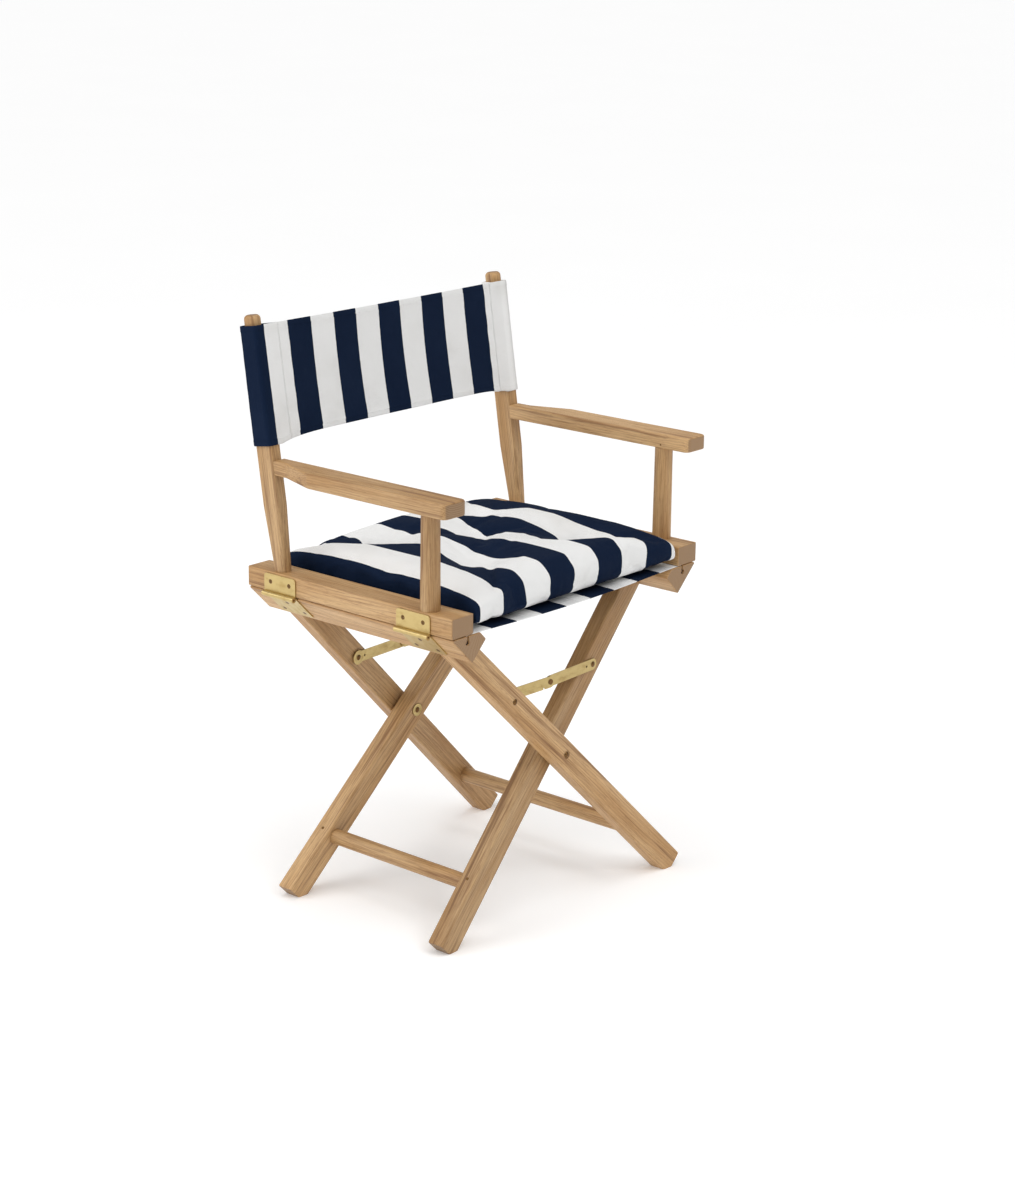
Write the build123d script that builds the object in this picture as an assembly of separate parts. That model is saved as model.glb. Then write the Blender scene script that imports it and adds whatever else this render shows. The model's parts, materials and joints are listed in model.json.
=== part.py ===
"""Folding director's chair: two X frames, hinged arm frames, brass stays and canvas seat and back.

Axes: the sitter faces -Y, +X is the sitter's left, +Z is up and the floor is z = 0.
The frames are drawn with the seat rails centred on y = 0 and moved at export, so that the
origin is the centre of the chair's footprint box.
The outer frame carries the right (-X) seat rail, the inner frame the left (+X) one.
"""
import os
from math import cos, hypot, radians, sin, tan

from build123d import *

# ---------------------------------------------------------------- driving dimensions (mm)
FRAME_SHIFT = -7.4  # y of the seat rails' middle in the exported parts

RIGHT, LEFT = -1, 1
FRONT, REAR = -1, 1
OUTER, INNER = RIGHT, LEFT  # side of the rail that each X frame carries

LEG_ANGLE = 45.5  # from vertical, chair open
PIVOT_Z = 239.0
LEG_WIDTH = 38.0
LEG_THICKNESS = 27.0
SPLAY = 0.0586  # outward run per mm down the leg
LEG_GAP = 6.0
LEG_FACE = {OUTER: 177.0, INNER: 177.0 - LEG_THICKNESS - LEG_GAP}  # outer faces at the pivot
FOOT_U = -336.0  # leg stations, measured up the leg from the pivot
SHOULDER_U = 302.0
TENON_END_U = 316.0
STRETCHER_U = -230.0
STAY_U = 147.6
LEG_ROUND = 3.0
FOOT_ROUND = 2.0

FIT = 0.05  # clearance of glued joints and of shafts in their holes
RUNNING_GAP = 0.3  # air between pieces that move past each other

STRETCHER_RADIUS = 11.5
STRETCHER_SOCKET = 15.0

RAIL_HALF_LENGTH = 196.4
RAIL_OUTER_X = 271.3
RAIL_INNER_X = 228.0
RAIL_BOTTOM_Z = 478.0
RAIL_TOP_Z = 507.0
RAIL_ROUND = 1.8
LOWER_RAIL_UV = ((360.0, -20.5), (318.4, 20.0), (302.0, 20.0), (302.0, -20.5))
KEYHOLE_X = 239.6
KEYHOLE_SLOT = 3.2
KEYHOLE_RADIUS = 3.9
KEYHOLE_Z = 467.6
SLING_ROD_RADIUS = 2.6

POST_X = 256.0
FRONT_POST_Y = -143.0
FRONT_POST_RADII = (14.0, 13.2)
FRONT_TENON_RADIUS = 8.0
REAR_POST_Y = 140.0
REAR_LEAN = 8.9
REAR_POST_LENGTH = 366.0
REAR_POST_X = 20.0
REAR_POST_Y_WIDTH = 31.5
REAR_TENON_RADIUS = 7.0

ARM_BOTTOM_Z = 646.5
ARM_TOP_Z = 668.0
ARM_INNER_X = 242.0
ARM_OUTER_X = 288.0
ARM_NECK_X = 265.0
ARM_FRONT_Y = -196.8
ARM_FLARE_Y = (59.0, 124.0)

HINGE_X = 275.6
HINGE_Z = 474.9
HINGE_Y = {FRONT: -126.5, REAR: 130.5}
HINGE_WIDTH = 62.0
KNUCKLES = 5
KNUCKLE_RADIUS = 4.0
HINGE_PIN_RADIUS = 1.6
LEAF_THICKNESS = 1.8
UPPER_LEAF_Z = (477.2, 504.5)
LOWER_LEAF_SPAN = (0.4, 50.0)  # from the rail's outer top corner down the slanted face
SCREW_LENGTH = 8.8

BOLT_RADIUS = 3.0
SPOT_DEPTH = 0.9
STAY_WIDTH = 17.0
STAY_THICKNESS = 1.0
STAY_STANDOFF = 1.2
STAY_PIN_RADIUS = 2.5

CANVAS_Z = (686.0, 854.0)
CANVAS_WALL = 1.5
SLING_HALF_LENGTH = 194.0
SLING_Z = (476.8, 477.7)
CUSHION_Y = (-191.0, 176.0)
CUSHION_HALF_WIDTH = 222.0
CUSHION_Z = (479.0, 499.0, 530.0)

LEG_SIN = sin(radians(LEG_ANGLE))
LEG_COS = cos(radians(LEG_ANGLE))


# ---------------------------------------------------------------- places on the X frames
def on_frame(side, u, v):
    """World (x, z) of a point u up the leg from the pivot and v towards its upper side."""
    return side * (u * LEG_SIN - v * LEG_COS), PIVOT_Z + u * LEG_COS + v * LEG_SIN


def face_y(side, end, u, depth=0.0):
    """World y of a leg's outer face at station u, or of the plane a depth below that face."""
    return end * (LEG_FACE[side] - depth - SPLAY * u)


def frame_plane(side):
    """Sketch plane whose x runs up the leg and whose y is world y."""
    return Plane(
        origin=(0, 0, PIVOT_Z),
        x_dir=(side * LEG_SIN, 0, LEG_COS),
        z_dir=(-LEG_COS, 0, side * LEG_SIN),
    )


def leg_bar(side, end, low_u, high_u, width, thickness):
    """Straight bar along a leg, centred in its thickness."""
    inset = (LEG_THICKNESS - thickness) / 2
    corners = [
        (low_u, face_y(side, end, low_u, inset)),
        (high_u, face_y(side, end, high_u, inset)),
        (high_u, face_y(side, end, high_u, inset + thickness)),
        (low_u, face_y(side, end, low_u, inset + thickness)),
    ]
    outline = make_face(Polyline(*corners, close=True))
    return extrude(frame_plane(side) * outline, amount=width / 2, both=True)


def along_y(radius, low_y, high_y, x, z):
    """Cylinder parallel to y."""
    middle = (low_y + high_y) / 2
    return Pos(x, middle, z) * Rot(90, 0, 0) * Cylinder(radius, abs(high_y - low_y))


def leg_tenon(side, end, clearance=0.0):
    return leg_bar(
        side, end, SHOULDER_U - 1, TENON_END_U + clearance, 24 + 2 * clearance, 15 + 2 * clearance
    )


def stretcher_bar(side, clearance=0.0):
    """The round stretcher, or the hole that it fills when given a clearance."""
    x, z = on_frame(side, STRETCHER_U, 0)
    reach = LEG_FACE[side] - SPLAY * STRETCHER_U - LEG_THICKNESS + STRETCHER_SOCKET + clearance
    return along_y(STRETCHER_RADIUS + clearance, -reach, reach, x, z)


def stretcher_nail(side, end, clearance=0.0):
    """Nail through the leg's upper side into the end of the stretcher."""
    y = face_y(side, end, STRETCHER_U, LEG_THICKNESS / 2)
    up_side = Vector(-side * LEG_COS, 0, LEG_SIN)
    x, z = on_frame(side, STRETCHER_U, 0)
    start = Vector(x, y, z) + up_side * (LEG_WIDTH / 2 + 0.4)
    shank = Plane(origin=start, z_dir=-up_side) * Cylinder(
        1.1 + clearance, 20 + clearance, align=(Align.CENTER, Align.CENTER, Align.MIN)
    )
    head = Plane(origin=start, z_dir=-up_side) * Cylinder(
        2.2 + clearance, 1.6 + clearance, align=(Align.CENTER, Align.CENTER, Align.MIN)
    )
    return shank + head


# ---------------------------------------------------------------- stays
class StayEnd:
    """Where one half of a folding stay is riveted to a leg, in the plane of the leg's face."""

    def __init__(self, side, end):
        self.side = side
        depth = LEG_THICKNESS if side == OUTER else 0.0
        x, z = on_frame(side, STAY_U, 0)
        self.point = Vector(x, face_y(side, end, STAY_U, depth), z)
        up_leg = Vector(side * LEG_SIN, -end * SPLAY, LEG_COS).normalized()
        up_side = Vector(-side * LEG_COS, 0, LEG_SIN)
        into_gap = up_leg.cross(up_side).normalized()
        gap_sign = -end if side == OUTER else end
        if into_gap.Y * gap_sign < 0:
            into_gap = -into_gap
        level = up_side * up_leg.Z - up_leg * up_side.Z
        self.normal = into_gap
        self.level = level.normalized()
        self.length = abs(self.point.X / self.level.X)
        self.plane = Plane(origin=self.point, x_dir=self.level, z_dir=into_gap)

    def disc(self, radius, low, high, at=0.0):
        """Disc on the stay's axis between two heights above the leg's face."""
        aligned = (Align.CENTER, Align.CENTER, Align.MIN)
        return self.plane * Pos(at, 0, low) * Cylinder(radius, high - low, align=aligned)

    def dome(self, radius, low, height, at=0.0):
        """Domed rivet head that rises from a height above the leg's face."""
        return self.plane * Pos(at, 0, low) * rivet_head(radius, height)


def rivet_head(radius, height):
    """Spherical cap standing on z = 0."""
    ball = (radius**2 + height**2) / (2 * height)
    cap = Pos(0, 0, height - ball) * Sphere(ball)
    keep = Cylinder(radius, height, align=(Align.CENTER, Align.CENTER, Align.MIN))
    return cap & keep


def stay_half(stay):
    """Flat brass link from its leg rivet to the knuckle, with a pressed groove on both faces."""
    top = STAY_STANDOFF + STAY_THICKNESS
    slot = Pos(stay.length / 2, 0) * SlotCenterToCenter(stay.length, STAY_WIDTH)
    link = extrude(stay.plane.offset(STAY_STANDOFF) * slot, amount=STAY_THICKNESS)
    groove_depth = 0.25
    groove = Pos(stay.length / 2, 0) * SlotCenterToCenter(stay.length - 44, 5.5)
    for low in (STAY_STANDOFF, top - groove_depth):
        link -= extrude(stay.plane.offset(low) * groove, amount=groove_depth)
    link -= stay.disc(STAY_PIN_RADIUS + FIT, STAY_STANDOFF - 1, top + 1)
    link -= stay.disc(1.8, STAY_STANDOFF - 1, top + 1, at=15.0)
    if stay.side == OUTER:
        notch = Pos(stay.length - 14, STAY_WIDTH / 2) * Rectangle(3, 5)
        link -= extrude(stay.plane.offset(STAY_STANDOFF - 1) * notch, amount=STAY_THICKNESS + 2)
    return link


def stay_rivet(stay):
    """Rivet through the leg: a domed head on the far face, a collar, and a head over the link."""
    beyond = STAY_STANDOFF + STAY_THICKNESS + RUNNING_GAP
    if stay.side == OUTER:
        beyond += 1.2
    shank = stay.disc(STAY_PIN_RADIUS, -LEG_THICKNESS - 0.5, beyond + 0.4)
    collar = stay.disc(6.5, 0, STAY_STANDOFF - RUNNING_GAP)
    far_head = Plane(
        origin=stay.point - stay.normal * LEG_THICKNESS, z_dir=-stay.normal
    ) * rivet_head(4.6, 2.2)
    return shank + collar + far_head + stay.dome(4.4, beyond, 1.6)


def stay_washer(stay):
    """Large washer between the link and the rivet's head, on the outer frame only."""
    low = STAY_STANDOFF + STAY_THICKNESS + RUNNING_GAP
    ring = stay.disc(11.0, low, low + 1.1) - stay.disc(STAY_PIN_RADIUS + FIT, low - 1, low + 2)
    return ring - (stay.disc(8.5, low + 0.8, low + 2) - stay.disc(5.5, low + 0.8, low + 2))


def knuckle_rivet(stay):
    """Rivet head at the knuckle, on the side of the link that faces its own leg."""
    return stay.disc(4.2, RUNNING_GAP, STAY_STANDOFF, at=stay.length)


# ---------------------------------------------------------------- X frames
def leg(side, end):
    bar = leg_bar(side, end, FOOT_U, SHOULDER_U, LEG_WIDTH, LEG_THICKNESS)
    bar = fillet(bar.edges().sort_by(SortBy.LENGTH)[-4:], LEG_ROUND)
    up_leg = Axis((0, 0, PIVOT_Z), (side * LEG_SIN, 0, LEG_COS))
    bar = fillet(bar.faces().sort_by(up_leg)[0].edges(), FOOT_ROUND)
    bar -= Pos(0, 0, -50) * Box(1000, 1000, 100)
    bar += leg_tenon(side, end)

    outer, inner = face_y(side, end, 0), face_y(side, end, 0, LEG_THICKNESS)
    bar -= along_y(BOLT_RADIUS + FIT, outer + 5 * end, inner - 5 * end, 0, PIVOT_Z)
    spot = 6.2 if side == OUTER else 10.4
    face, outwards = (outer, end) if side == OUTER else (inner, -end)
    bar -= along_y(spot, face - SPOT_DEPTH * outwards, face + 5 * outwards, 0, PIVOT_Z)

    stay = StayEnd(side, end)
    bar -= stay.disc(STAY_PIN_RADIUS + FIT, -LEG_THICKNESS - 5, 5)
    bar -= stretcher_bar(side, FIT)
    bar -= stretcher_nail(side, end, FIT)
    return bar


def stretcher(side):
    bar = stretcher_bar(side)
    for end in (FRONT, REAR):
        bar -= stretcher_nail(side, end, FIT)
    return bar


def lower_rail(side):
    corners = [on_frame(LEFT, u, v) for u, v in LOWER_RAIL_UV]
    outline = make_face(Polyline(*corners, close=True))
    bar = extrude(Plane.XZ * outline, amount=RAIL_HALF_LENGTH, both=True)
    bar = fillet(bar.edges().filter_by(Axis.Y), RAIL_ROUND)
    bar = chamfer(bar.faces().sort_by(Axis.Y)[0].edges(), 0.8)
    bar = chamfer(bar.faces().sort_by(Axis.Y)[-1].edges(), 0.8)
    length = 2 * RAIL_HALF_LENGTH + 2
    slot_x = KEYHOLE_X - KEYHOLE_RADIUS / 2 + 1
    bar -= Pos(slot_x, 0, KEYHOLE_Z + 10) * Box(KEYHOLE_SLOT, length, 20)
    bar -= along_y(KEYHOLE_RADIUS, -length / 2, length / 2, KEYHOLE_X, KEYHOLE_Z)
    if side == RIGHT:
        bar = mirror(bar, about=Plane.YZ)
    for end in (FRONT, REAR):
        bar -= leg_tenon(side, end, FIT)
    return bar


def sling_rod(side):
    reach = RAIL_HALF_LENGTH - 3
    return along_y(SLING_ROD_RADIUS, -reach, reach, side * KEYHOLE_X, KEYHOLE_Z)


# ---------------------------------------------------------------- cross pivots
def cross_bolt(end):
    """Long rivet through both legs, headed over the outer leg and over the washer inside."""
    outer = LEG_FACE[OUTER] - SPOT_DEPTH + RUNNING_GAP
    inner = LEG_FACE[INNER] - LEG_THICKNESS + SPOT_DEPTH - RUNNING_GAP - 1.5
    shank = along_y(BOLT_RADIUS, end * (outer + 0.2), end * (inner - 0.2), 0, PIVOT_Z)
    head = Plane(origin=(0, end * outer, PIVOT_Z), z_dir=(0, end, 0)) * rivet_head(4.6, 2.6)
    tail = Plane(origin=(0, end * inner, PIVOT_Z), z_dir=(0, -end, 0)) * rivet_head(4.6, 1.8)
    return shank + head + tail


def cross_washer(end):
    """Dished washer against the inner leg."""
    seat = LEG_FACE[INNER] - LEG_THICKNESS + SPOT_DEPTH - RUNNING_GAP
    disc = along_y(9.5, end * seat, end * (seat - 1.5), 0, PIVOT_Z)
    dish = along_y(7.4, end * (seat - 1.1), end * (seat - 3), 0, PIVOT_Z)
    hub = along_y(5.2, end * (seat - 1.1), end * (seat - 3), 0, PIVOT_Z)
    return disc - (dish - hub) - along_y(BOLT_RADIUS + FIT, 0, 300 * end, 0, PIVOT_Z)


def cross_spacer(end):
    """Washer that keeps the two legs apart."""
    middle = LEG_FACE[INNER] + LEG_GAP / 2
    disc = along_y(10, end * (middle - 2.1), end * (middle + 2.1), 0, PIVOT_Z)
    return disc - along_y(BOLT_RADIUS + FIT, 0, 300 * end, 0, PIVOT_Z)


# ---------------------------------------------------------------- arm frames, drawn at +X
def rear_post_plane(along=0.0):
    lean = radians(REAR_LEAN)
    upward = Vector(0, sin(lean), cos(lean))
    foot = Vector(POST_X, REAR_POST_Y, RAIL_TOP_Z)
    return Plane(origin=foot + upward * along, x_dir=(1, 0, 0), z_dir=upward)


def rear_tenon(clearance=0.0):
    low = Align.CENTER, Align.CENTER, Align.MIN
    return (
        rear_post_plane(-20 - clearance)
        * Cylinder(REAR_TENON_RADIUS + clearance, 24 + clearance, align=low)
    )


def arm_tongue(clearance=0.0):
    """Tongue of the armrest that enters the rear post."""
    middle = (ARM_BOTTOM_Z + ARM_TOP_Z) / 2
    size = 10 + 2 * clearance
    return Pos(POST_X, 152 + clearance / 2, middle) * Box(size, 20 + clearance, 12 + 2 * clearance)


def arm_pin(clearance=0.0):
    """Locking pin through the armrest's inner edge into the front post's tenon."""
    radius = 1.4 + clearance
    length = 16 + clearance
    start = Plane(origin=(ARM_INNER_X + 0.1, FRONT_POST_Y - 4, ARM_BOTTOM_Z + 5.5), z_dir=(1, 0, 0))
    return start * Cylinder(radius, length, align=(Align.CENTER, Align.CENTER, Align.MIN))


def front_post_tenons(clearance=0.0):
    reach = 20 + clearance
    radius = FRONT_TENON_RADIUS + clearance
    base = Align.CENTER, Align.CENTER, Align.MIN
    lower = Pos(POST_X, FRONT_POST_Y, RAIL_TOP_Z - reach) * Cylinder(radius, reach + 1, align=base)
    upper = Pos(POST_X, FRONT_POST_Y, ARM_BOTTOM_Z - 1) * Cylinder(
        radius, 15 + clearance, align=base
    )
    return lower + upper


def upper_rail():
    width = RAIL_OUTER_X - RAIL_INNER_X
    height = RAIL_TOP_Z - RAIL_BOTTOM_Z
    middle = Pos((RAIL_OUTER_X + RAIL_INNER_X) / 2, 0, (RAIL_TOP_Z + RAIL_BOTTOM_Z) / 2)
    bar = middle * Box(width, 2 * RAIL_HALF_LENGTH, height)
    bar = fillet(bar.edges().filter_by(Axis.Y), RAIL_ROUND)
    bar = chamfer(bar.faces().sort_by(Axis.Y)[0].edges(), 0.8)
    bar = chamfer(bar.faces().sort_by(Axis.Y)[-1].edges(), 0.8)
    return bar - front_post_tenons(FIT) - rear_tenon(FIT)


def front_post():
    height = ARM_BOTTOM_Z - RAIL_TOP_Z
    base = Align.CENTER, Align.CENTER, Align.MIN
    foot, top = FRONT_POST_RADII
    shaft = Pos(POST_X, FRONT_POST_Y, RAIL_TOP_Z) * Cone(foot, top, height, align=base)
    return shaft + front_post_tenons() - arm_pin(FIT)


def rear_post():
    """Turned foot, flat middle and narrowed round top, all along the leaning axis."""
    flat = RectangleRounded(REAR_POST_X, REAR_POST_Y_WIDTH, 4)
    foot = RectangleRounded(21, 21, 9)
    tip = RectangleRounded(REAR_POST_X, 22.5, 8)
    low = rear_post_plane(-8)
    shaft = loft([low * foot, rear_post_plane(95) * flat], ruled=True)
    shaft += extrude(rear_post_plane(95) * flat, amount=120)
    shaft += loft([rear_post_plane(215) * flat, rear_post_plane(350) * tip], ruled=True)
    cap = extrude(rear_post_plane(350) * tip, amount=REAR_POST_LENGTH - 350)
    cap = fillet(cap.faces().sort_by(Axis.Z)[-1].edges(), 6.5)
    shaft += cap
    shaft -= Pos(POST_X, REAR_POST_Y, RAIL_TOP_Z - 50) * Box(100, 100, 100)
    return shaft + rear_tenon() - arm_tongue(FIT)


def armrest():
    rear_y = 175.0
    near, far = ARM_FLARE_Y
    outline = make_face(
        Polyline(
            (ARM_INNER_X, ARM_FRONT_Y),
            (ARM_OUTER_X, ARM_FRONT_Y),
            (ARM_OUTER_X, near),
            (ARM_NECK_X, far),
            (ARM_NECK_X, rear_y),
            (ARM_INNER_X + 1, rear_y),
            close=True,
        )
    )
    board = extrude(Pos(0, 0, ARM_BOTTOM_Z) * outline, amount=ARM_TOP_Z - ARM_BOTTOM_Z)
    board = fillet(board.edges().filter_by(Axis.Z).group_by(Axis.Y)[0], 9)
    flare = board.edges().filter_by(Axis.Z).filter_by_position(Axis.Y, near - 1, far + 1)
    board = fillet(flare, 14)
    lean = tan(radians(REAR_LEAN))
    face = REAR_POST_Y - REAR_POST_Y_WIDTH / 2 / cos(radians(REAR_LEAN)) - FIT
    low_y = face + (ARM_BOTTOM_Z - 10 - RAIL_TOP_Z) * lean
    high_y = face + (ARM_TOP_Z + 10 - RAIL_TOP_Z) * lean
    behind = make_face(
        Polyline(
            (low_y, ARM_BOTTOM_Z - 10),
            (high_y, ARM_TOP_Z + 10),
            (rear_y + 20, ARM_TOP_Z + 10),
            (rear_y + 20, ARM_BOTTOM_Z - 10),
            close=True,
        )
    )
    board -= Pos(POST_X, 0, 0) * extrude(Plane.YZ * behind, amount=60, both=True)
    board = fillet(board.faces().sort_by(Axis.Z)[-1].edges(), 3.2)
    board = fillet(board.faces().sort_by(Axis.Z)[0].edges(), 2.2)
    return board + arm_tongue() - front_post_tenons(FIT) - arm_pin(FIT)


# ---------------------------------------------------------------- hinges, drawn at +X
def hinge_knuckle(y, index, radius, grow=0.0):
    pitch = HINGE_WIDTH / KNUCKLES
    low = y - HINGE_WIDTH / 2 + index * pitch
    gap = RUNNING_GAP / 2
    return along_y(radius, low + gap - grow, low + pitch - gap + grow, HINGE_X, HINGE_Z)


def knuckled(plate, y, mine, others):
    """Add this leaf's knuckles to its plate, and clear the room of the other leaf's."""
    for index in others:
        plate -= hinge_knuckle(y, index, KNUCKLE_RADIUS + RUNNING_GAP, RUNNING_GAP)
    for index in mine:
        plate += hinge_knuckle(y, index, KNUCKLE_RADIUS)
    return plate - along_y(HINGE_PIN_RADIUS + FIT, y - 50, y + 50, HINGE_X, HINGE_Z)


def lower_leaf_plane(y):
    """Plane on the lower rail's slanted outer face: x down the face, z out of the wood."""
    top_x, top_z = on_frame(LEFT, *LOWER_RAIL_UV[0])
    low_x, low_z = on_frame(LEFT, *LOWER_RAIL_UV[3])
    run = hypot(low_x - top_x, low_z - top_z)
    down = Vector((low_x - top_x) / run, 0, (low_z - top_z) / run)
    outward = Vector(-down.Z, 0, down.X)
    return Plane(origin=(top_x, y, top_z), x_dir=down, z_dir=outward)


def upper_leaf_plane(y):
    """Plane on the upper rail's outer face: x up the face, z out of the wood."""
    return Plane(origin=(RAIL_OUTER_X, y, RAIL_BOTTOM_Z), x_dir=(0, 0, 1), z_dir=(1, 0, 0))


def screw_places(upper, y):
    """Screw planes with z out of the wood, on the leaf's outer surface."""
    if upper:
        plane, spots = upper_leaf_plane(y), [(15.0, -18.5), (15.0, 18.5)]
    else:
        plane, spots = lower_leaf_plane(y), [(19.5, 0.0), (40.5, -20.0), (40.5, 20.0)]
    return [plane * Pos(along, across, LEAF_THICKNESS) for along, across in spots]


def screw(clearance=0.0):
    """Countersunk wood screw below z = 0, with a cross recess unless it is used as a cutter."""
    top = Align.CENTER, Align.CENTER, Align.MAX
    depth = LEAF_THICKNESS
    head = Cone(1.5 + clearance, 3.5 + clearance, depth, align=top)
    body = head + Cylinder(1.5 + clearance, SCREW_LENGTH + clearance, align=top)
    if clearance:
        return body
    for turn in (0, 90):
        body -= Rot(0, 0, turn) * Box(4.2, 0.8, 2.0)
    return body


def leaf_screws(upper):
    return [place * screw() for end in HINGE_Y for place in screw_places(upper, HINGE_Y[end])]


def leaf_screw_holes(upper):
    return [place * screw(FIT) for end in HINGE_Y for place in screw_places(upper, HINGE_Y[end])]


def upper_leaf(end):
    y = HINGE_Y[end]
    low_z, high_z = UPPER_LEAF_Z
    plate = Pos(RAIL_OUTER_X + LEAF_THICKNESS / 2, y, (low_z + high_z) / 2) * Box(
        LEAF_THICKNESS, HINGE_WIDTH, high_z - low_z
    )
    top_corners = plate.edges().filter_by(Axis.X).group_by(Axis.Z)[-1]
    plate = fillet(top_corners, 5)
    for place in screw_places(True, y):
        plate -= place * screw(FIT)
    return knuckled(plate, y, mine=(0, 2, 4), others=(1, 3))


def lower_leaf(end):
    y = HINGE_Y[end]
    start, stop = LOWER_LEAF_SPAN
    corner = 3.0
    base = Align.MIN, Align.CENTER, Align.MIN
    plate = lower_leaf_plane(y) * Pos(start, 0, 0) * Box(
        stop - start - corner, HINGE_WIDTH, LEAF_THICKNESS, align=base
    )
    tail = Pos((start + stop) / 2, 0) * RectangleRounded(stop - start, HINGE_WIDTH, corner)
    plate += extrude(lower_leaf_plane(y) * tail, amount=LEAF_THICKNESS)
    for place in screw_places(False, y):
        plate -= place * screw(FIT)
    return knuckled(plate, y, mine=(1, 3), others=(0, 2, 4))


def hinge_pin(end):
    y = HINGE_Y[end]
    half = HINGE_WIDTH / 2 - 0.2
    return along_y(HINGE_PIN_RADIUS, y - half, y + half, HINGE_X, HINGE_Z)


# ---------------------------------------------------------------- soft goods
def backrest_canvas():
    """Panel across the fronts of the rear posts with a sleeve round each of them."""
    low_u = (CANVAS_Z[0] - RAIL_TOP_Z) / cos(radians(REAR_LEAN))
    high_u = (CANVAS_Z[1] - RAIL_TOP_Z) / cos(radians(REAR_LEAN))
    air = 2 * RUNNING_GAP
    inner = RectangleRounded(REAR_POST_X + air, REAR_POST_Y_WIDTH + air, 4.3)
    outer = RectangleRounded(
        REAR_POST_X + air + 2 * CANVAS_WALL, REAR_POST_Y_WIDTH + air + 2 * CANVAS_WALL, 5.8
    )
    sleeve = extrude(rear_post_plane(low_u) * (outer - inner), amount=high_u - low_u)
    front = (REAR_POST_Y_WIDTH + air + CANVAS_WALL) / 2
    across = Pos(-POST_X, -front) * Rectangle(2 * POST_X - REAR_POST_X + 12, CANVAS_WALL)
    panel = extrude(rear_post_plane(low_u) * across, amount=high_u - low_u)
    return panel + sleeve + mirror(sleeve, about=Plane.YZ)


def seat_sling():
    """Flat sling between the seat rails whose ends turn down into the keyhole grooves."""
    length = 2 * SLING_HALF_LENGTH
    low_z, high_z = SLING_Z
    slot_x = KEYHOLE_X - KEYHOLE_RADIUS / 2 + 1
    reach = slot_x + 0.9
    sheet = Pos(0, 0, (low_z + high_z) / 2) * Box(2 * reach, length, high_z - low_z)
    loop_radius = KEYHOLE_RADIUS - RUNNING_GAP
    for side in (RIGHT, LEFT):
        top, bottom = low_z, KEYHOLE_Z + SLING_ROD_RADIUS + RUNNING_GAP
        tongue = Pos(side * slot_x, 0, (top + bottom) / 2) * Box(1.8, length, top - bottom + 0.2)
        x = side * KEYHOLE_X
        loop = along_y(loop_radius, -length / 2, length / 2, x, KEYHOLE_Z)
        hollow = along_y(SLING_ROD_RADIUS + RUNNING_GAP, -length, length, x, KEYHOLE_Z)
        sheet += tongue + (loop - hollow)
        sheet -= hollow
    return sheet


def seat_cushion():
    """Plain crowned pad between the arm frames."""
    front, back = CUSHION_Y
    middle = (front + back) / 2
    width, depth = 2 * CUSHION_HALF_WIDTH, back - front
    low, seam, crown = CUSHION_Z
    bottom = Pos(0, middle, low) * RectangleRounded(width - 36, depth - 36, 20)
    edge = Pos(0, middle, seam) * RectangleRounded(width, depth, 12)
    top = Pos(0, middle, crown) * RectangleRounded(width - 56, depth - 56, 24)
    return loft([bottom, edge], ruled=True) + loft([edge, top], ruled=True)


# ---------------------------------------------------------------- assembly
def group(pieces):
    """Separate solids that share one node."""
    return Compound([solid for piece in pieces for solid in piece.solids()])


def arm_frame():
    """Nodes of one arm frame, drawn at +X."""
    rail = upper_rail()
    for hole in leaf_screw_holes(upper=True):
        rail -= hole
    nodes = {
        "upper_rail": rail,
        "front_post": front_post(),
        "rear_post": rear_post(),
        "armrest": armrest(),
        "armrest_pin": arm_pin(),
        "upper_leaf_screws": group(leaf_screws(upper=True)),
    }
    for name, end in (("front", FRONT), ("rear", REAR)):
        nodes[f"{name}_hinge_upper_leaf"] = upper_leaf(end)
        nodes[f"{name}_hinge_lower_leaf"] = lower_leaf(end)
        nodes[f"{name}_hinge_pin"] = hinge_pin(end)
    return nodes


def x_frame(side, frame_name, rail_name):
    """Nodes of one X frame, with the hardware that it carries."""
    rail = lower_rail(side)
    holes = leaf_screw_holes(upper=False)
    screws = leaf_screws(upper=False)
    if side == RIGHT:
        holes = [mirror(hole, about=Plane.YZ) for hole in holes]
        screws = [mirror(piece, about=Plane.YZ) for piece in screws]
    for hole in holes:
        rail -= hole
    ends = (("front", FRONT), ("rear", REAR))
    stays = {name: StayEnd(side, end) for name, end in ends}
    nails = [stretcher_nail(side, end) for name, end in ends]
    nodes = {
        f"{rail_name}_lower_rail": rail,
        f"{rail_name}_sling_rod": sling_rod(side),
        f"{rail_name}_lower_leaf_screws": group(screws),
        f"{frame_name}_stretcher": stretcher(side),
        f"{frame_name}_stretcher_nails": group(nails),
        f"{frame_name}_stay_rivets": group([stay_rivet(s) for s in stays.values()]),
    }
    if side == OUTER:
        washers = [stay_washer(s) for s in stays.values()]
        nodes[f"{frame_name}_stay_washers"] = group(washers)
    for name, end in ends:
        nodes[f"{frame_name}_{name}_leg"] = leg(side, end)
        nodes[f"{name}_stay_{frame_name}_half"] = stay_half(stays[name])
        nodes[f"{name}_stay_{frame_name}_knuckle_rivet"] = knuckle_rivet(stays[name])
    return nodes


def chair():
    nodes = {}
    for name, piece in arm_frame().items():
        nodes[f"left_{name}"] = piece
        nodes[f"right_{name}"] = mirror(piece, about=Plane.YZ)
    nodes.update(x_frame(OUTER, "outer", "right"))
    nodes.update(x_frame(INNER, "inner", "left"))
    for name, end in (("front", FRONT), ("rear", REAR)):
        nodes[f"{name}_cross_bolt"] = cross_bolt(end)
        nodes[f"{name}_cross_washer"] = cross_washer(end)
        nodes[f"{name}_cross_spacer"] = cross_spacer(end)
    nodes["backrest_canvas"] = backrest_canvas()
    nodes["seat_sling"] = seat_sling()
    nodes["seat_cushion"] = seat_cushion()
    return nodes


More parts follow.
